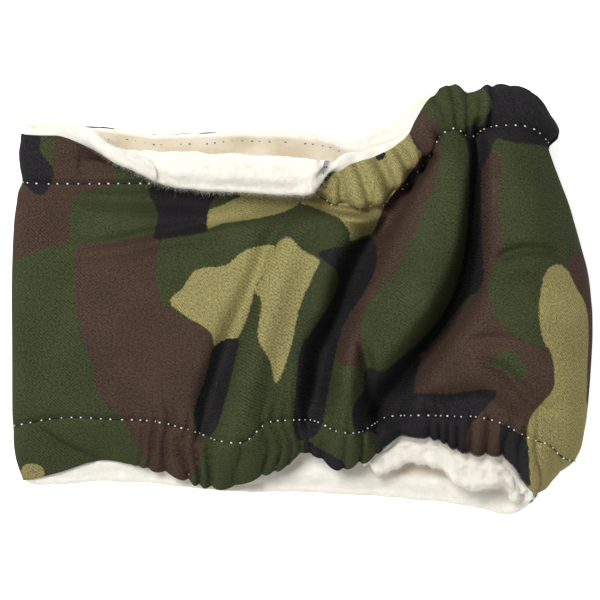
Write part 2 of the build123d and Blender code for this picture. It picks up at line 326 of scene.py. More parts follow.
def surface(cols, rows, detail=1.0, tuck=0.0):
    """Points of the outer face. Rows are (zone, v): zone 0 is the lower casing, 1 the body and 2 the
    upper casing, and v runs from 0 to 1 up each. With tuck, every crease is that much wider, so a
    layer drawn from it stays under the cloth."""
    kind, place = (c[None, :] for c in cols)
    zone = rows[0][:, None]
    v = rows[1].reshape(len(zone), -1)
    pick = [zone == 0, zone == 1, zone == 2]
    x, z, nx, nz = section(*row_ends(zone, v), kind, place)
    front = kind <= 2
    bottom = np.where(front, front_bottom_hem(x), back_bottom_hem(x))
    low_seam = np.where(front, front_bottom_seam(x), back_bottom_seam(x))
    high_seam = np.where(front, front_top_seam(x), back_top_seam(x))
    top = np.where(front, high_seam + top_casing_length(x), back_top_hem(x))
    a = v * (top - high_seam)
    turn = np.where(front, np.radians(flip(x)), 0)
    b = a - flip_from(x)
    over = np.maximum(b, 0)
    turned = np.where(turn < 0, turn * step(b, 0, 6), np.minimum(over / FLIP_RADIUS, turn))
    rest = np.maximum(b - FLIP_RADIUS * np.maximum(turn, 0), 0)
    curled_y = flip_from(x) + FLIP_RADIUS * np.sin(turned) + rest * np.cos(turned)
    curled_z = FLIP_RADIUS * (1 - np.cos(turned)) + rest * np.sin(turned)
    down_y = np.minimum(a, flip_from(x)) + over * np.cos(turned)
    dy = np.where(b < 0, a, np.where(turn < 0, down_y, curled_y))
    dz = np.where(pick[2] & (b > 0), np.where(turn < 0, over * np.sin(turned), curled_z), 0)
    body_y = low_seam + (high_seam - low_seam) * v
    y = np.select(pick, [bottom + (low_seam - bottom) * v, body_y, high_seam + dy])
    turned = np.where(pick[2] & (b > 0), turned, 0)
    fold_y = np.where(pick[2] & (b > 0), high_seam + flip_from(x), y)

    # large folds, only where the wall faces up
    facing = step(nz, 0.12, 0.75) * front
    lift = np.zeros(x.shape)
    for f in folds:
        low = f[len(f) // 2][3] < 0
        small = f[len(f) // 2][2] < 3
        if low or not (tuck and small):
            lift += stroke(x, fold_y, f, tuck if low else 0)
    from_low = np.where(zone == 0, (v - 1) * 20, y - low_seam)
    from_high = np.where(zone == 2, a, y - high_seam)
    puff = 1.6 * np.where(zone == 0, np.sin(math.pi * np.clip(v, 0, 1)), 0)
    puff = puff + 1.8 * np.where(zone == 2, np.sin(math.pi * np.clip(v, 0, 1)), 0) * (turn <= 0.8)
    bunch = step(x, 8, 14) * (1 - step(x, 75, 79))
    lobes = np.zeros(x.shape)
    for f in bunches:
        lobes += stroke(x, y, f)
    lobes = 6.5 * (1 - np.exp(-lobes / 2.4)) * (zone == 2) * bunch * (1 - 0.6 * (tuck > 0))
    lift = lift + lobes * 1.05 - 4.6 * bunch * (zone == 2)
    sagging = 0.34 * lobes * np.exp(-((a / 5) ** 2)) * (1 - step(x, 50, 56))
    upright = 0.2 * (lobes - 4) * step(x, 46, 54) * bunch * v * (zone == 2)
    y = y - sagging + upright
    drop = np.interp(x, [-110, -80, 10, 34, 88, 98], [3, 5, 6, 9, 9, 3])
    puff = puff - drop * np.where(zone == 0, np.clip(1 - v, 0, 1) ** 1.6 + 0.1 * np.clip(-v, 0, 1.2), 0)
    near_low, near_high = (np.maximum(np.abs(k) - tuck, 0) for k in (from_low, from_high))
    pinch = np.exp(-((near_low / 1.3) ** 2)) + np.exp(-((near_high / 1.3) ** 2))
    lift = lift + puff - 1.2 * pinch * np.maximum(detail, tuck > 0)

    # gathers in the casings that die out in the body
    hem_run = x + 0.3 * (y - 50) * step(y, 20, 40) + 2.6 * noise(x, y, 0 * x, 12)
    pleat = np.minimum(gathers(hem_run - tuck), gathers(hem_run + tuck))
    pleat = np.minimum(pleat, gathers(hem_run))
    low_pull = np.interp(x, [-70, -56, -40, -24, 0, 90, 100], [0, 4.0, 4.4, 4.8, 5.2, 5.2, 1.0])
    high_pull = np.interp(x, [4, 14, 54, 60, 76, 82, 100], [0, 0.5, 0.5, 0.6, 1.0, 1.2, 1.4])
    uneven = 0.85 + 0.5 * noise(x, 0 * x, 0 * x + 2, 13)
    low_pull, high_pull = low_pull * uneven, high_pull * uneven
    low_pull = low_pull * np.where(zone == 0, 1, np.exp(-np.maximum(from_low, 0) / 7))
    high_pull = high_pull * np.where(zone == 2, 1, np.exp(np.minimum(from_high, 0) / 5))
    back_low = 0.9 * np.where(zone == 0, 1, np.exp(-np.maximum(from_low, 0) / 9))
    back_high = 0.9 * np.where(zone == 2, 1, np.exp(np.minimum(from_high, 0) / 9))
    low_pull, high_pull = np.where(front, low_pull, back_low), np.where(front, high_pull, back_high)
    out = detail * (low_pull + high_pull) * (pleat - 0.4)
    hem_wave = high_pull * (zone == 2) * np.clip(v, 0, 1) - low_pull * (zone == 0) * (1 - v)
    y = y + detail * (pleat - 0.5) * hem_wave * 0.5

    # unevenness of the cloth
    out = out + facing * detail * (0.7 * noise(x, y * 0.6, 0 * x, 17) + 0.25 * noise(x, y, 3 + 0 * x, 6.5))
    near_seam = np.exp(-np.abs(from_low) / 3.5) + np.exp(-np.abs(from_high) / 3.5)
    out = out + detail * 0.4 * near_seam * noise(x, y * 0.4, 7 + 0 * x, 3.6)
    under = (nz < -0.5).astype(float)
    out = out * (1 - 0.9 * under * (out > 0))
    ny = -np.sin(turned) * nz
    nz2 = np.cos(turned) * nz
    z = z + lift * facing + dz * np.clip(nz, 0, 1)
    p = np.stack(np.broadcast_arrays(x + out * nx, y + out * ny, z + out * nz2), -1)
    p[..., 2] = np.maximum(p[..., 2], 0.15)
    return p


def normals(p):
    """Outward unit normals of a grid that is closed round its columns."""
    across = np.roll(p, -1, 1) - np.roll(p, 1, 1)
    along = np.gradient(p, axis=0)
    n = np.cross(across, along)
    return n / np.maximum(np.linalg.norm(n, axis=-1, keepdims=True), 1e-9)


def blurred(n, times=2):
    """Normals averaged with their neighbours."""
    for _ in range(times):
        n = n + np.roll(n, 1, 1) + np.roll(n, -1, 1)
        n[1:-1] = n[1:-1] + n[:-2] + n[2:]
        n = n / np.maximum(np.linalg.norm(n, axis=-1, keepdims=True), 1e-9)
    return n


def blurred_grid(p, times=14):
    """The grid with its small folds smoothed away."""
    for _ in range(times):
        p = (p + np.roll(p, 1, 1) + np.roll(p, -1, 1)) / 3
    return p


# ---------------------------------------------------------------- making meshes


def mesh_object(name, points, faces, material, node, smooth=True):
    mesh = bpy.data.meshes.new(name)
    mesh.from_pydata((np.asarray(points).reshape(-1, 3) * MM).tolist(), [], faces)
    mesh.polygons.foreach_set("use_smooth", [smooth] * len(mesh.polygons))
    mesh.materials.append(material)
    mesh.update()
    obj = bpy.data.objects.new(name, mesh)
    scene.collection.objects.link(obj)
    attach(obj, "root")
    if node:
        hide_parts(*node)
    return obj


def grid_faces(rows, cols, wrap_rows=False):
    """Faces of a grid that is closed round its columns."""
    r = np.arange(rows if wrap_rows else rows - 1)
    c = np.arange(cols)
    r, c = (k.ravel() for k in np.meshgrid(r, c, indexing="ij"))
    r2, c2 = (r + 1) % rows, (c + 1) % cols
    return np.stack([r * cols + c, r * cols + c2, r2 * cols + c2, r2 * cols + c], 1).tolist()


def set_values(obj, name, values):
    layer = obj.data.attributes.new(name, "FLOAT", "POINT")
    layer.data.foreach_set("value", np.asarray(values, np.float32).ravel())


def set_map(obj, u, v):
    layer = obj.data.uv_layers.new(name="cloth")
    corner = np.empty(len(obj.data.loops), np.int32)
    obj.data.loops.foreach_get("vertex_index", corner)
    uv = np.stack([u.ravel()[corner], v.ravel()[corner]], 1)
    layer.data.foreach_set("uv", uv.astype(np.float32).ravel())


def closed_band(name, outer, inner, material, node, slot, caps=3):
    """A thick band between two grids, with rounded hems."""
    middle, half = (outer + inner) / 2, (outer - inner) / 2
    low_way = unit(middle[0] - middle[1])
    high_way = unit(middle[-1] - middle[-2])
    thick_low = np.linalg.norm(half[0], axis=-1, keepdims=True)
    thick_high = np.linalg.norm(half[-1], axis=-1, keepdims=True)
    turns = [math.pi * (k + 1) / (caps + 1) for k in range(caps)]
    high_cap = [middle[-1] + half[-1] * math.cos(t) + high_way * thick_high * math.sin(t) for t in turns]
    low_cap = [middle[0] - half[0] * math.cos(t) + low_way * thick_low * math.sin(t) for t in turns]
    rows = np.concatenate([outer, np.array(high_cap), inner[::-1], np.array(low_cap)])
    rows[..., 2] = np.maximum(rows[..., 2], 0.3)
    faces = grid_faces(rows.shape[0], rows.shape[1], wrap_rows=True)
    return mesh_object(name, rows, faces, material, node), rows


def beads(name, centres, ways, ups, sizes, material, node, slot, around=6, along=4):
    """Small rounded stitches: centre, direction, upward direction and half sizes of each."""
    points, faces = [], []
    side = unit(np.cross(ups, ways))
    for c, w, s, size in zip(centres, ways, side, sizes):
        u = np.cross(w, s)
        base = len(points)
        points.append(c - w * size[0])
        for i in range(1, along):
            t = math.pi * i / along
            for j in range(around):
                f = 2 * math.pi * j / around
                ring = s * size[1] * math.cos(f) + u * size[2] * math.sin(f)
                points.append(c - w * size[0] * math.cos(t) + ring * math.sin(t) ** 0.6)
        points.append(c + w * size[0])
        last = len(points) - 1
        for j in range(around):
            k = (j + 1) % around
            faces.append((base, base + 1 + k, base + 1 + j))
            for i in range(along - 2):
                q = base + 1 + i * around
                faces.append((q + j, q + k, q + around + k, q + around + j))
            q = base + 1 + (along - 2) * around
            faces.append((q + j, q + k, last))
    points = np.array(points)
    points[:, 2] = np.maximum(points[:, 2], 0.08)
    return mesh_object(name, points, faces, material, node)


def along_row(points, ups, pitch, jitter=0.12):
    """Places every pitch along a closed row of points, with their direction and upward direction."""
    ring = np.vstack([points, points[:1]])
    up = np.vstack([ups, ups[:1]])
    length = np.concatenate([[0], np.cumsum(np.linalg.norm(np.diff(ring, axis=0), axis=1))])
    count = int(length[-1] / pitch)
    at = (np.arange(count) + rng.uniform(-jitter, jitter, count)) * length[-1] / count + pitch / 2
    at = np.clip(at, 0, length[-1])
    c = np.stack([np.interp(at, length, ring[:, k]) for k in range(3)], 1)
    n = np.stack([np.interp(at, length, up[:, k]) for k in range(3)], 1)
    ahead = np.stack([np.interp(np.minimum(at + 0.5, length[-1]), length, ring[:, k]) for k in range(3)], 1)
    behind = np.stack([np.interp(np.maximum(at - 0.5, 0), length, ring[:, k]) for k in range(3)], 1)
    w = unit(ahead - behind)
    return c, w, unit(n - (n * w).sum(1, keepdims=True) * w)


def fibres(name, roots, ways, lengths, material, slot, width=0.045):
    """Short bent tapering fibres of the pile, one narrow ribbon each."""
    n = len(roots)
    side = unit(np.cross(ways, rng.normal(size=(n, 3))))
    bend = rng.normal(size=(n, 3)) * 0.45
    lengths = lengths[:, None]
    middle = roots + ways * lengths * 0.55 + bend * lengths * 0.25
    tip = roots + ways * lengths * 0.85 + bend * lengths
    half = side * width / 2
    points = np.stack([roots - half, roots + half, middle - half * 0.8, middle + half * 0.8, tip], 1)
    base = np.arange(n)[:, None] * 5
    quads = (base + np.array([0, 1, 3, 2])).tolist()
    tips = (base + np.array([2, 3, 4])).tolist()
    return mesh_object(name, points, quads + tips, material, None, smooth=False)


# ---------------------------------------------------------------- camouflage print, with painted shade in the valleys

# Outlines of the print, in plan on the front wall. Black outlines along the valleys are widened as painted
# shade, and a black patch in the pocket below the deepest valley is painted shade.
print_and_shade_shapes = {
    "khaki": [
        [(-112, -76), (-112, -68), (-106.5, -66.5), (-103, -70), (-106, -75)],
        [(-38, 34.5), (-31.5, 37.5), (-24, 41), (-15.5, 43), (0, 42), (0, 39), (-6, 35), (-15.5, 32.5),
         (-24, 31), (-31.5, 30), (-38, 28)],
        [(-52, -1), (-47, 4), (-41.5, 11.5), (-30.5, 13), (-25, 17), (-20, 20), (-10.5, 21), (-13, 13),
         (-18, 4), (-19.5, -1.5), (-22, -9.5), (-26, -17), (-31.5, -20), (-34.5, -19), (-35.5, -14),
         (-40, -10.5), (-46.5, -6.5)],
        [(-18.5, 3.5), (-15.5, 7.5), (-13, 14), (-10, 20.5), (-7, 24), (-4, 24), (0.5, 19.5), (7.5, 15),
         (5, 9), (2, 2.5), (-0.5, -4), (-3, -16), (-4.5, -21.5), (-7, -29), (-10, -33.5), (-12, -25),
         (-15.5, -19), (-17, -13.5), (-15.5, -1.5)],
        [(7, 43.5), (12, 49), (18, 56), (28.5, 62), (36.5, 68), (44, 73), (48.5, 64), (50, 58), (42.5, 48),
         (35, 38.5), (30, 27.5), (25, 25), (20, 23), (19.5, 26.5), (16, 31.5), (11, 34), (4, 37),
         (0, 38.5), (0, 42)],
        [(96, 9), (99.5, 13), (103, 13), (106.5, 10), (109, 5), (113, -2), (114.5, -8), (114.5, -18.5),
         (114, -31), (116, -44.5), (120, -56.5), (104, -84), (92, -86), (91, -76.5), (90.5, -68.5),
         (89.5, -54), (91, -46.5), (95.5, -41), (100, -35), (100, -29.5), (99, -22), (96, -17),
         (94.5, -11), (94, -2.5)],
    ],
    "brown": [
        [(-98.5, 70), (-88, 68), (-80, 60.5), (-75, 52), (-76.5, 45), (-89, 42), (-92, 34), (-93.5, 22.5),
         (-104, 20), (-119.5, 14), (-122.5, 26.5), (-118, 43.5), (-104, 46), (-99.5, 53.5)],
        [(-89, 20.5), (-76, 22.5), (-57.5, 25), (-57.5, 14.5), (-57, 3.5), (-55, -2), (-51.5, -4.5),
         (-46.5, -8), (-40, -10.5), (-36, -14), (-35, -20), (-38.5, -32.5), (-42.5, -43.5), (-43, -50.5),
         (-39, -56.5), (-39.5, -62.5), (-46, -76), (-56, -74), (-63.5, -63), (-67, -56.5), (-70, -49.5),
         (-74, -45), (-80, -39), (-82.5, -30), (-85.5, -20.5), (-88, -12), (-90, -0.5)],
        [(49.5, 58), (54.5, 55.5), (54, 46.5), (49.5, 37.5), (46, 28), (42.5, 22), (38, 11.5), (32.5, 5),
         (27.5, -1), (24, -8.5), (24.5, -18.5), (24.5, -25.5), (16, -26.5), (14, -18.5), (17.5, -10.5),
         (26.5, 9), (28.5, 23.5), (34, 37.5), (42.5, 48)],
        [(43, 76), (48, 74.5), (54, 70.5), (56, 63.5), (55, 54.5), (49.5, 57), (44, 64.5)],
        [(71, 59.5), (78.5, 56), (79.5, 49.5), (78.5, 39.5), (79, 27.5), (79.5, 17.5), (76.5, 14.5),
         (74, 5.5), (76, -4.5), (80, -10.5), (86, -16), (96, -19.5), (99.5, -25.5), (100, -30.5),
         (99.5, -36), (95.5, -41), (91, -46.5), (89.5, -54), (90.5, -69.5), (86, -70), (80, -63),
         (66, -64), (66, -52.5), (56, -48.5), (52, -42.5), (44.5, -37.5), (40, -40.5), (34, -52.5),
         (24.5, -52), (25.5, -40.5), (38, -27.5), (53.5, -16.5), (62, -5.5), (69.5, 2.5), (71, 23.5),
         (71.5, 43.5)],
        [(108, 19.5), (114, 17.5), (120, 11.5), (132, -12.5), (128, -32.5), (118, -42), (114, -42),
         (114, -31), (114.5, -12.5), (113, -2), (109, 5), (106, 12)],
    ],
    "black": [
        [(-117, 70), (-104, 69), (-104.5, 60), (-102, 56), (-99, 51.5), (-99.5, 47.5), (-102, 42.5),
         (-105, 41.5), (-109, 44), (-113, 48), (-118, 55.5)],
        [(-60, 45.5), (-34.5, 44), (-36.5, 37.5), (-37.5, 30.5), (-38, 26.5), (-50, 24.5), (-58.5, 24),
         (-57, 33.5)],
        [(-34.5, -19), (-25, -16), (-26, -24.5), (-30, -40.5), (-34, -52.5), (-38, -55), (-42.5, -50),
         (-42, -42.5), (-38, -32)],
        # partly black print, widened along the middle valley as painted shade
        [(7.5, 18.5), (18, 21), (28.5, 24.5), (30.5, 14.5), (26, 3.5), (20, -5.5), (16.5, -12.5),
         (14.5, -19.5), (12.5, -29.5), (10.5, -40.5), (8.5, -50.5), (4.5, -55.5), (-1, -56.5),
         (-2.5, -48.5), (-2, -38.5), (0.5, -18.5), (7, -9.5), (12, -1.5), (15, 5.5), (14, 11.5),
         (10, 14.5)],
        # partly black print, widened along the deepest valley as painted shade
        [(66, 68), (73.5, 68), (72.5, 59.5), (72, 43.5), (72, 23.5), (72, 6), (66, -0.5), (59, -9.5),
         (52, -18.5), (44.5, -25.5), (38, -32.5), (33.5, -44), (31, -52), (22, -52.5), (20.5, -44.5),
         (24.5, -37.5), (34, -28.5), (46, -18.5), (54.5, -9.5), (60.5, 1), (64, 12), (66, 24), (67, 39.5),
         (67, 55.5)],
        [(71, 88), (80, 90), (98, 88), (114, 73), (114, 53.5), (102, 52), (99, 59.5), (96, 61), (84, 62),
         (78, 63.5), (75, 57), (72, 52), (71, 63.5), (73.5, 71.5), (76.5, 78)],
        # painted shade: a black patch in the pocket at the foot of the deepest valley, where the cloth lies
        # in shade
        [(26, -28), (33, -29), (41, -26), (48, -22), (46, -32), (44, -42), (40, -55), (32, -56), (27, -50),
         (25.5, -40)],
        [(45, -38), (58, -38), (72.5, -36), (77.5, -38), (71, -46), (68, -49.5), (66, -54), (65.5, -63),
         (56, -60.5), (44, -59.5), (32, -61.5), (31, -50), (35, -48.5), (38, -45.5)],
        [(2, -56.5), (8.5, -60.5), (16, -64.5), (18, -68.5), (12, -72), (6, -69), (1.5, -63)],
        [(79, -50), (84.5, -52.5), (89.5, -56.5), (91, -68.5), (91.5, -75), (86, -68.5), (80, -62)],
        [(30, 57.4), (33.6, 58.4), (34, 56.4), (31, 55.2)],
    ],
    "green_over": [
        [(-104, 70), (-98.5, 70), (-98.5, 59.5), (-102, 58.5), (-104, 61)],
        [(75, -25), (81, -20), (85.5, -22.5), (89.5, -27.5), (88.5, -31.5), (84, -31.5), (80, -29)],
        [(3.5, -0.5), (5.5, 9), (8.5, 14.5), (12, 12), (14.5, 9.5), (14, 4), (11, -2), (7, -8.5),
         (2, -16)],
    ],
}
# The rest of the cloth, out of sight on the roll and behind, carries the same kind of print
for kind_name, count, size in (("khaki", 7, 17), ("brown", 9, 21), ("black", 10, 13)):
    for _ in range(count):
        cx, cy = rng.uniform(134, 380), rng.uniform(-88, 82)
        turns = np.sort(rng.uniform(0, 2 * math.pi, 9))
        reach = size * rng.uniform(0.55, 1.25, 9)
        wide, lean = rng.uniform(0.5, 0.9), rng.uniform(0, math.pi)
        bx, by = reach * np.cos(turns), reach * wide * np.sin(turns)
        outline_x = cx + bx * math.cos(lean) - by * math.sin(lean)
        outline_y = cy + bx * math.sin(lean) + by * math.cos(lean)
        print_and_shade_shapes[kind_name].append(np.stack([outline_x, outline_y], 1))


# ---------------------------------------------------------------- materials


class Nodes:
    """A small helper to write a material's nodes."""

    def __init__(self, name):
        self.material = bpy.data.materials.new(name)
        self.material.use_nodes = True
        self.tree = self.material.node_tree
        self.shader = self.tree.nodes["Principled BSDF"]

    def add(self, kind, inputs=None, **settings):
        node = self.tree.nodes.new(kind)
        for key, value in settings.items():
            setattr(node, key, value)
        for key, value in (inputs or {}).items():
            if isinstance(value, bpy.types.NodeSocket):
                self.tree.links.new(value, node.inputs[key])
            else:
                node.inputs[key].default_value = value
        return node

    def math(self, operation, a, b=0.0, clamp=False):
        node = self.add("ShaderNodeMath", {0: a, 1: b}, operation=operation)
        node.use_clamp = clamp
        return node.outputs[0]

    def value(self, name):
        return self.add("ShaderNodeAttribute", attribute_name=name).outputs["Fac"]

    def noise(self, vector, scale, detail=2.0, roughness=0.5):
        node = self.add("ShaderNodeTexNoise", {"Vector": vector, "Scale": scale, "Detail": detail,
                                              "Roughness": roughness})
        return node.outputs["Fac"]

    def mix(self, factor, a, b, blend="MIX"):
        node = self.add("ShaderNodeMix", data_type="RGBA", blend_type=blend)
        for index, value in ((0, factor), (6, a), (7, b)):
            if isinstance(value, bpy.types.NodeSocket):
                self.tree.links.new(value, node.inputs[index])
            else:
                node.inputs[index].default_value = value
        return node.outputs[2]

    def ramp(self, value, low, high, to_low=0.0, to_high=1.0):
        node = self.add("ShaderNodeMapRange", {0: value, 1: low, 2: high, 3: to_low, 4: to_high})
        return node.outputs[0]

    def finish(self, colour, height=None, distance=0.0001, strength=1.0, **plain):
        self.tree.links.new(colour, self.shader.inputs["Base Color"])
        if height is not None:
            bump = self.add("ShaderNodeBump", {"Height": height, "Strength": strength, "Distance": distance})
            self.tree.links.new(bump.outputs[0], self.shader.inputs["Normal"])
        for key, value in plain.items():
            self.shader.inputs[key.replace("_", " ")].default_value = value
        return self.material


WALE_PITCH = 0.95
GREEN = (0.039, 0.047, 0.020, 1), (0.055, 0.063, 0.029, 1)


def camo_twill():
    n = Nodes("camo_twill")
    cloth = n.add("ShaderNodeUVMap", uv_map="cloth").outputs[0]
    ragged = n.ramp(n.noise(cloth, 900 * MM, 2), 0.3, 0.7, -0.35, 0.35)
    fine = n.ramp(n.noise(cloth, 3800 * MM, 1), 0.3, 0.7, -0.2, 0.2)
    ragged = n.math("ADD", ragged, fine)
    colour = n.mix(n.noise(cloth, 60 * MM), *GREEN)
    for name, a, b in (
        ("khaki", (0.255, 0.222, 0.086, 1), (0.310, 0.270, 0.115, 1)),
        ("brown", (0.053, 0.033, 0.024, 1), (0.075, 0.047, 0.035, 1)),
        ("black", (0.017, 0.016, 0.017, 1), (0.026, 0.024, 0.026, 1)),
        ("green_over", *GREEN),
    ):
        edge = n.ramp(n.math("ADD", n.value(name), ragged), -0.22, 0.22)
        tone = n.mix(n.noise(cloth, 75 * MM), a, b)
        colour = n.mix(edge, colour, tone)
    split = n.add("ShaderNodeSeparateXYZ", {0: cloth})
    wobble = n.math("MULTIPLY", n.noise(cloth, 400 * MM, 1), 0.9)
    turn = 2 * math.pi / WALE_PITCH

    def slanted(across, up):
        """The phase of straight lines across the cloth."""
        parts = [n.math("MULTIPLY", split.outputs[k], f * turn) for k, f in enumerate((across, up))]
        return n.math("ADD", *parts)

    wale = n.math("SINE", n.math("ADD", slanted(0.75, 0.66), wobble))
    cross = n.math("SINE", slanted(-1.2, 0.9))
    weave = n.math("ADD", n.math("MULTIPLY", wale, 0.5), n.math("MULTIPLY", cross, 0.22))
    yarn = n.ramp(n.noise(cloth, 2200 * MM, 3, 0.7), 0.25, 0.75, -0.5, 0.5)
    grain = n.ramp(n.noise(cloth, 1250 * MM, 2, 0.6), 0.3, 0.7, -0.5, 0.5)
    shade = n.math("ADD", n.math("MULTIPLY", weave, 0.34), n.math("MULTIPLY", yarn, 0.7))
    shade = n.math("ADD", shade, n.math("MULTIPLY", grain, 0.85))
    worn = n.ramp(n.noise(cloth, 35 * MM, 4), 0.3, 0.7, -0.1, 0.1)
    level = n.math("ADD", n.math("ADD", shade, worn), 1.0)
    grey = n.add("ShaderNodeCombineColor", {0: level, 1: level, 2: level}).outputs[0]
    colour = n.mix(1.0, colour, grey, "MULTIPLY")
    lint = n.ramp(n.noise(cloth, 1300 * MM, 1), 0.77, 0.83)
    colour = n.mix(n.math("MULTIPLY", lint, 0.25), colour, (0.5, 0.48, 0.42, 1))
    height = n.math("ADD", weave, n.math("MULTIPLY", yarn, 1.2))
    return n.finish(colour, height, 0.00012, 0.55, Roughness=0.95, Specular_IOR_Level=0.05)


def pile_fleece():
    n = Nodes("pile_fleece")
    place = n.add("ShaderNodeTexCoord").outputs["Object"]
    soft = n.noise(place, 260, 3, 0.6)
    curl = n.noise(place, 900, 3, 0.65)
    fine = n.noise(place, 3200, 2, 0.6)
    colour = n.mix(n.ramp(soft, 0.3, 0.7), (0.85, 0.81, 0.72, 1), (0.92, 0.90, 0.84, 1))
    # tan where the attribute is set: a band inside the back wall's upper casing, and painted shade inside the
    # lower mouth
    colour = n.mix(n.value("tan_and_painted_shade"), colour, (0.56, 0.46, 0.30, 1))
    colour = n.mix(n.math("MULTIPLY", n.ramp(curl, 0.62, 0.3), 0.22), colour, (0.70, 0.66, 0.56, 1))
    height = n.math("ADD", n.math("MULTIPLY", curl, 1.0), n.math("MULTIPLY", fine, 0.5))
    n.shader.inputs["Subsurface Radius"].default_value = (1.0, 0.9, 0.75)
    return n.finish(colour, height, 0.0006, 0.4, Roughness=0.95, Sheen_Weight=0.2, Sheen_Roughness=0.6,
                    Specular_IOR_Level=0.1, Subsurface_Weight=0.5, Subsurface_Scale=0.0018)


def plain_cloth(name, a, b, scale, roughness=0.8):
    n = Nodes(name)
    place = n.add("ShaderNodeTexCoord").outputs["Object"]
    grain = n.noise(place, scale, 3)
    return n.finish(n.mix(n.ramp(grain, 0.3, 0.7), a, b), grain, 0.0001, 0.6, Roughness=roughness,
                    Specular_IOR_Level=0.2)


camo = camo_twill()
fleece = pile_fleece()
elastic_cloth = plain_cloth("flat_elastic", (0.6, 0.58, 0.52, 1), (0.75, 0.73, 0.68, 1), 1500)
black_thread = plain_cloth("black_thread", (0.006, 0.006, 0.007, 1), (0.016, 0.015, 0.017, 1), 2500)
white_thread = plain_cloth("white_thread", (0.82, 0.82, 0.78, 1), (0.95, 0.95, 0.92, 1), 2500)

# ---------------------------------------------------------------- outer shell

SHELL_ROWS = (38, 124, 44)
LINING_ROWS = (34, 46, 46)
HEM_TURN = ((0.75, -0.7), (0.5, 0.15), (0.2, 0.3))


def grid_rows(counts):
    """The zone of each row and its place in the zone, from the number of rows in each zone."""
    low, body, high = counts
    place = np.concatenate([np.arange(low) / low, np.arange(body) / body, np.linspace(0, 1, high)])
    return np.repeat([0, 1, 2], counts), place


cols = columns(14, 256, 64, 26, 60, 8)
zone, v = grid_rows(SHELL_ROWS)
shell_points = surface(cols, (zone, v))
shell_ups = blurred(normals(shell_points), 1)
low_way, high_way = unit(shell_points[0] - shell_points[1]), unit(shell_points[-1] - shell_points[-2])
turned_low = [shell_points[0] - shell_ups[0] * k + low_way * m for k, m in HEM_TURN]
turned_high = [shell_points[-1] - shell_ups[-1] * k + high_way * m for k, m in HEM_TURN[::-1]]
shell_points = np.concatenate([turned_low, shell_points, turned_high])
shell_points[..., 2] = np.maximum(shell_points[..., 2], 0.15)
shell_faces = grid_faces(*shell_points.shape[:2])
shell = mesh_object("outer_shell_cloth", shell_points, shell_faces, camo, ["outer_shell"])
run = np.linalg.norm(np.diff(shell_points, axis=1, append=shell_points[:, :1]), axis=-1)
past = cols[0] >= 3
edge_column = int(np.argmax(past))
beyond = np.cumsum(np.where(past[None, :], run, 0), 1) - run * past[None, :]
edge_x = shell_points[:, edge_column : edge_column + 1, 0]
print_x = np.where(past[None, :], edge_x + beyond, shell_points[..., 0])
print_y = shell_points[..., 1]
for name, outlines in print_and_shade_shapes.items():
    distance = np.full(print_x.size, -9.0)
    for outline in outlines:
        dense = smooth_line(outline, closed=True, steps=4)
        distance = np.maximum(distance, inside_distance(dense, print_x.ravel(), print_y.ravel()))
    set_values(shell, name, distance)
plain_x, plain_z = section(*row_ends(zone[:, None], v[:, None]), cols[0][None, :], cols[1][None, :])[:2]
plain_x, plain_z = (np.pad(k, ((3, 3), (0, 0)), mode="edge") for k in (plain_x, plain_z))
around = np.cumsum(np.hypot(np.diff(plain_x, axis=1, prepend=-116), np.diff(plain_z, axis=1, prepend=8)), 1)
rises = np.diff(blurred_grid(shell_points), axis=0, prepend=shell_points[:1])
upward = np.cumsum(np.linalg.norm(rises, axis=-1), 0)
set_map(shell, around, upward)

# ---------------------------------------------------------------- fleece lining

lining_cols = columns(10, 180, 50, 22, 70, 6)
kinds = lining_cols[0][None, :]
in_front = kinds <= 2
zone_l, part_l = grid_rows(LINING_ROWS)
row_zone, part_l = zone_l[:, None], part_l[:, None]
guide = surface(lining_cols, (np.array([0, 2]), np.array([0.0, 1.0])), 0.0)
low_x, high_x = guide[:1, :, 0], guide[1:, :, 0]
# how far the lining reaches past each hem, as a share of the casing
low_lip = np.interp(
    low_x, [-110, 24, 29, 34, 40, 60, 80, 88, 92], [-0.05, -0.05, 0.2, 0.75, 1.0, 0.85, 0.7, 0.55, 0.1]
)
low_lip = np.where(in_front, low_lip, 0.03)
front_lip = np.interp(
    high_x,
    [-112, -78, -62, 0, 12, 20, 42, 47, 50, 100],
    [0.12, 0.18, 0.03, 0.05, 0.26, 0.24, 0.14, 0.08, -0.12, -0.12],
)
back_lip = np.interp(
    high_x,
    [-112, -95, -91, -76, -72, -66, -58, -36, -30, 20, 24, 100],
    [0.05, 0.0, -0.085, -0.085, -0.03, -0.03, -0.085, -0.085, -0.02, 0.02, 0.05, 0.03],
)
high_lip = np.where(in_front, front_lip, back_lip)
v_l = np.select(
    [row_zone == 0, row_zone == 1, row_zone == 2],
    [-low_lip + (1 + low_lip) * part_l, part_l + 0 * low_lip, part_l * (1 + high_lip)],
)
lip_row = (row_zone == 0) & in_front & (low_lip > 0.2)
past_hem = np.where(lip_row, step(-v_l, -0.12, 0.12), 0)
cloth_side = surface(lining_cols, (zone_l, v_l), 1 - 0.9 * past_hem, 1.4)
cloth_ups = blurred(normals(cloth_side), 2)
skin = surface(lining_cols, (zone_l, v_l), 0.35 - 0.3 * past_hem, 1.4)
skin_ups = blurred(normals(skin), 3)
x_l, y_l = skin[..., 0], skin[..., 1]
below_hem = step(-v_l, -0.05, 0.35) * lip_row
fine_fluff = (0.22 + 0.2 * below_hem) * noise(x_l, y_l, skin[..., 2] + 40, 1.3)
fluff = (0.35 + 0.9 * below_hem) * noise(x_l, y_l, skin[..., 2], 2.8) + fine_fluff
rim = (row_zone == 2) & in_front
rim_pad = rim * (2.4 * (x_l < -60) + 1.4 * (x_l > 10)) * step(v_l, 0.6, 1)
thick = 3.1 + 2.6 * below_hem + rim_pad + 0.6 * noise(x_l, y_l, skin[..., 2] + 9, 9)
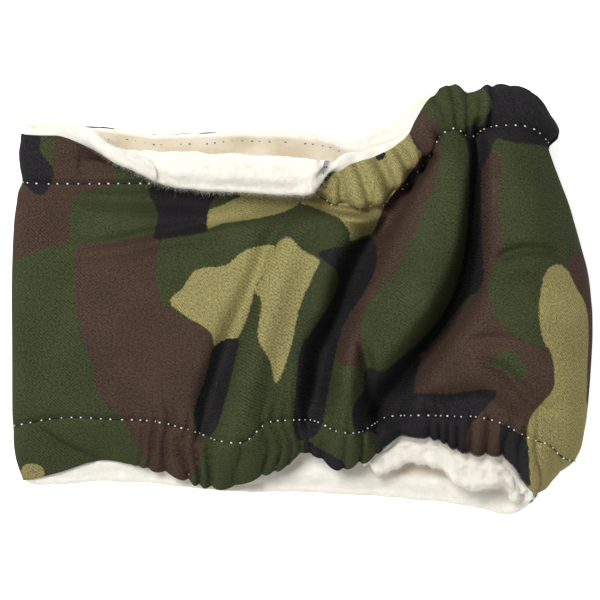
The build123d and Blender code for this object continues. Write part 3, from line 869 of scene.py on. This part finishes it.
at_high_hem = np.where(row_zone == 2, step(v_l, 0.7, 1), 0)
at_hem = np.where(row_zone == 0, 1 - step(v_l, 0, 0.3), at_high_hem)
gap = 2.6 - 1.7 * at_hem - 2.2 * below_hem
outer = cloth_side - cloth_ups * (gap - below_hem * fluff)[..., None]
inner = skin - skin_ups * (gap + thick + fluff)[..., None]
inner[..., 2] = np.maximum(inner[..., 2], 0.6)
lining, lining_rows = closed_band(
    "fleece_lining_pile", outer, inner, fleece, ["fleece_lining"], "pile_fleece", caps=4
)
# Tan on the inside of the back wall: a band in the upper casing, and painted shade in the lower mouth under
# the front wall's lip
tan_and_painted_shade = (row_zone == 2) & ~in_front
top_tan_span = step(x_l, -92, -76) * (1 - step(x_l, 16, 26))
top_tan_band = tan_and_painted_shade * top_tan_span * step(v_l, 0.1, 0.3) * (1 - step(v_l, 0.86, 0.97))
# painted shade: the inside of the lower mouth, shaded under the front wall's lip, is tinted tan and darker
low_mouth_painted_shade = 0.88 * (row_zone == 0) * ~in_front * step(x_l, 30, 44) * (1 - step(x_l, 72, 80))
low_mouth_painted_shade = low_mouth_painted_shade * step(v_l, 0.3, 0.5) * (1 - step(v_l, 0.7, 1.0))
inner_tan_and_painted_shade = (top_tan_band + low_mouth_painted_shade) * (0.75 + 0.35 * noise(x_l, y_l, 5 + 0 * x_l, 8))
caps_zero = np.zeros((4, skin.shape[1]))
set_values(lining, "tan_and_painted_shade", np.concatenate([0 * x_l, caps_zero, inner_tan_and_painted_shade[::-1], caps_zero]))

# fibres that stand out of the pile where it shows
n_rows = skin.shape[0]
inner_ups = -skin_ups
weight = np.zeros(skin.shape[:2])
on_cuff = (row_zone == 2) & in_front & (x_l < 48)
weight += on_cuff * 1.0
weight += lip_row * (v_l < 0.3) * 1.2
weight += ((row_zone == 2) & ~in_front & (x_l < 44)) * 0.5
weight += ((row_zone == 0) & ~in_front) * 0.5
flat_index = rng.choice(weight.size, 15000, p=(weight / weight.sum()).ravel())
r_i, c_i = np.unravel_index(flat_index, weight.shape)
spread = rng.uniform(-0.5, 0.5, (len(r_i), 2))
r_j = np.clip(r_i + np.sign(spread[:, 0]).astype(int), 0, n_rows - 1)
c_j = (c_i + np.sign(spread[:, 1]).astype(int)) % skin.shape[1]
on_outer = lip_row[r_i, c_i] & (v_l[r_i, c_i] < 0.05) & (rng.random(len(r_i)) < 0.5)
base_grid = np.where(on_outer[:, None], outer[r_i, c_i], inner[r_i, c_i])
next_r = np.where(on_outer[:, None], outer[r_j, c_i], inner[r_j, c_i])
next_c = np.where(on_outer[:, None], outer[r_i, c_j], inner[r_i, c_j])
along_r, along_c = np.abs(spread[:, :1]), np.abs(spread[:, 1:])
roots = base_grid + (next_r - base_grid) * along_r + (next_c - base_grid) * along_c
ways = np.where(on_outer[:, None], skin_ups[r_i, c_i], inner_ups[r_i, c_i])
pile = []


def add_pile(points, directions, shortest, longest):
    """Fibres from these points, each with a length between the two given."""
    pile.append((points, unit(directions), rng.uniform(shortest, longest, len(points))))


add_pile(roots, ways + rng.normal(size=(len(roots), 3)) * 0.7, 0.7, 1.8)
# fibres at the free edges, which lie over the cloth
EDGE_FIBRES, HEM_FIBRES = 7000, 6000
for edge_rows, choose in (
    (lining_rows[n_rows : n_rows + 4], in_front[0] & (high_x[0] < 47)),
    (lining_rows[2 * n_rows + 4 :], in_front[0] & (low_lip[0] > 0.2)),
):
    pick = rng.choice(np.flatnonzero(choose), EDGE_FIBRES)
    level = rng.integers(0, 4, EDGE_FIBRES)
    point = edge_rows[level, pick] + rng.normal(size=(EDGE_FIBRES, 3)) * 0.2
    centre = edge_rows[:, pick].mean(0)
    add_pile(point, (point - centre) + rng.normal(size=(EDGE_FIBRES, 3)) * 0.9, 0.8, 3.0)
lip_pick = rng.choice(np.flatnonzero(in_front[0] & (low_lip[0] > 0.2)), EDGE_FIBRES)
lip_point = outer[rng.integers(2, 26, EDGE_FIBRES), lip_pick]
add_pile(lip_point, rng.normal(size=(EDGE_FIBRES, 3)) * 0.5 + np.array([0, 0.8, 0.5]), 0.8, 2.4)
hem_row = shell_points[3]
over_lip = (cols[0] <= 2) & (hem_row[:, 0] > 33) & (hem_row[:, 0] < 90)
hem_pick = rng.choice(np.flatnonzero(over_lip), HEM_FIBRES)
hem_way = rng.normal(size=(HEM_FIBRES, 3)) * 0.55 + np.array([0, 0.9, 0.45])
hem_point = hem_row[hem_pick] + rng.normal(size=(HEM_FIBRES, 3)) * 0.3 + np.array([0, -0.8, 0.1])
add_pile(hem_point, hem_way, 1.0, 3.0)
fuzz = fibres("fleece_lining_fibres", *(np.concatenate(k) for k in zip(*pile)), fleece, "pile_fleece")
set_values(fuzz, "tan_and_painted_shade", np.zeros(len(fuzz.data.vertices)))

# ---------------------------------------------------------------- elastic rings

for name, zone_value, low, high in (("top_elastic", 2, 0.12, 0.86), ("bottom_elastic", 0, 0.14, 0.88)):
    strip_zone = np.full(10, zone_value)
    strip = surface(lining_cols, (strip_zone, np.linspace(low, high, 10)), 1.0, 1.4)
    ups = blurred(normals(strip), 2)
    faces = strip - ups * 1.5, strip - ups * 2.0
    closed_band(name + "_ribbon", *faces, elastic_cloth, [name], "flat_elastic", caps=1)

# ---------------------------------------------------------------- stitches


def standing(c, proud):
    """How far stitches stand out of the pile: sunk in it, except inside the upper hem of the back wall."""
    sunk = (c[:, 2] > 8) | (c[:, 1] < 0) | (c[:, 0] > 18)
    return np.where(sunk, -2.4, rng.uniform(-0.4, proud, len(c)))[:, None]


def lockstitch(name, row, ups, inside, inside_ups, pitch=4.1):
    """One row: black needle thread and white bobbin thread, each seen as a dot on the other's side."""
    c, w, n = along_row(row, ups, pitch)
    c2, w2, n2 = along_row(inside, inside_ups, pitch)
    k, k2 = len(c), len(c2)
    depth2 = standing(c2, 0.2)
    c = c - np.array([0, 0, 3.0]) * ((c[:, :1] > 12) & (c[:, :1] < 54) & (c[:, 1:2] > 30) & (c[:, 2:] > 12))
    step_on = np.roll(c, -1, 0) - c
    between = c + step_on / 2
    way = unit(step_on)
    half = np.linalg.norm(step_on, axis=1) / 2
    sizes = np.stack([np.minimum(half * 0.86, 2.2), np.full(k, 0.3), np.full(k, 0.24)], 1)
    dots = np.tile([0.32, 0.26, 0.28], (k2, 1))
    places = np.vstack([between + n * 0.1, c2 + n2 * depth2])
    shapes = np.vstack([way, w2]), np.vstack([n, n2]), np.vstack([sizes, dots])
    beads(name + "_needle_stitches", places, *shapes, black_thread, [name + "_needle_thread"], "black_thread")
    light = np.tile([0.42, 0.34, 0.3], (k, 1)) * rng.uniform(0.75, 1.1, (k, 1))
    node = [name + "_bobbin_thread"]
    beads(name + "_bobbin_stitches", c + n * 0.22, w, n, light, white_thread, node, "white_thread")


seam_points = shell_points[len(HEM_TURN) : -len(HEM_TURN)]
for name, zones in (("bottom_casing", 1), ("top_casing", 2)):
    i, j = sum(SHELL_ROWS[:zones]), sum(LINING_ROWS[:zones])
    lockstitch(name, seam_points[i], shell_ups[i], inner[j], inner_ups[j])
for name, row in (("bottom", 8), ("top", n_rows - 9)):
    c, w, n = along_row(inner[row], inner_ups[row], 3.6)
    sizes = np.tile([0.4, 0.28, 0.28], (len(c), 1))
    c = c + n * standing(c, 0.15)
    beads(name + "_edge_stitches", c, w, n, sizes, black_thread, [name + "_edge_thread"], "black_thread")

# threads that close the bands and the elastics, all out of sight between the layers
for name, height, material, slot in (
    ("side_seam", 6.0, black_thread, "black_thread"),
    ("lining_seam", 9.5, white_thread, "white_thread"),
):
    ys = np.arange(-50, 43, 3.2)
    c = np.stack([left_edge(ys) + 1.1, ys, np.full(len(ys), height)], 1)
    w = np.tile([0.0, 1.0, 0.0], (len(ys), 1))
    n = np.tile([-1.0, 0.0, 0.0], (len(ys), 1))
    sizes = np.tile([1.5, 0.2, 0.2], (len(ys), 1))
    beads(name + "_stitches", c, w, n, sizes, material, [name + "_thread"], slot)
for name, y_at in (("top", 57.0), ("bottom", -65.0)):
    ys = y_at + np.arange(-4, 4.1, 1.6)
    c = np.stack([np.full(len(ys), -40.0), ys, np.full(len(ys), 1.0)], 1)
    w = np.tile([0.0, 1.0, 0.0], (len(ys), 1))
    n = np.tile([0.0, 0.0, 1.0], (len(ys), 1))
    sizes = np.tile([0.7, 0.2, 0.12], (len(ys), 1))
    node = [name + "_elastic_join_thread"]
    beads(name + "_elastic_join_stitches", c, w, n, sizes, white_thread, node, "white_thread")

# ---------------------------------------------------------------- floor, light, camera

floor_mesh = bpy.data.meshes.new("floor")
floor_mesh.from_pydata([(-3, -3, 0), (3, -3, 0), (3, 3, 0), (-3, 3, 0)], [], [(0, 1, 2, 3)])
floor = bpy.data.objects.new("floor", floor_mesh)
floor_material = bpy.data.materials.new("floor")
floor_material.use_nodes = True
floor_shader = floor_material.node_tree.nodes["Principled BSDF"]
floor_shader.inputs["Base Color"].default_value = (0.95, 0.95, 0.95, 1)
floor_shader.inputs["Roughness"].default_value = 0.9
floor_shader.inputs["Specular IOR Level"].default_value = 0.0
floor_shader.inputs["Emission Color"].default_value = (1, 1, 1, 1)
floor_shader.inputs["Emission Strength"].default_value = 0.8
floor_mesh.materials.append(floor_material)
scene.collection.objects.link(floor)

world = bpy.data.worlds.new("studio")
world.use_nodes = True
world.node_tree.nodes["Background"].inputs[0].default_value = (1, 1, 1, 1)
world.node_tree.nodes["Background"].inputs[1].default_value = 0.2
scene.world = world


def area_light(name, place, target, size, power):
    data = bpy.data.lights.new(name, "AREA")
    data.shape, data.size, data.energy = "SQUARE", size, power
    light = bpy.data.objects.new(name, data)
    scene.collection.objects.link(light)
    light.location = place
    light.rotation_euler = (Vector(target) - Vector(place)).to_track_quat("-Z", "Y").to_euler()


area_light("key", (-0.4, 0.34, 1.13), (0, 0, 0), 0.45, 14.2)
area_light("fill", (0.1, -0.6, 1.0), (0, 0, 0), 0.6, 2.0)

camera_data = bpy.data.cameras.new("camera")
camera_data.lens, camera_data.sensor_width = 300, 36
camera_data.clip_start, camera_data.clip_end = 0.1, 10
camera = bpy.data.objects.new("camera", camera_data)
camera.location = (-0.0002, -0.0006, 2.02)
camera.rotation_euler = (0, 0, 0)
scene.collection.objects.link(camera)
scene.camera = camera
scene.view_settings.view_transform = "Standard"
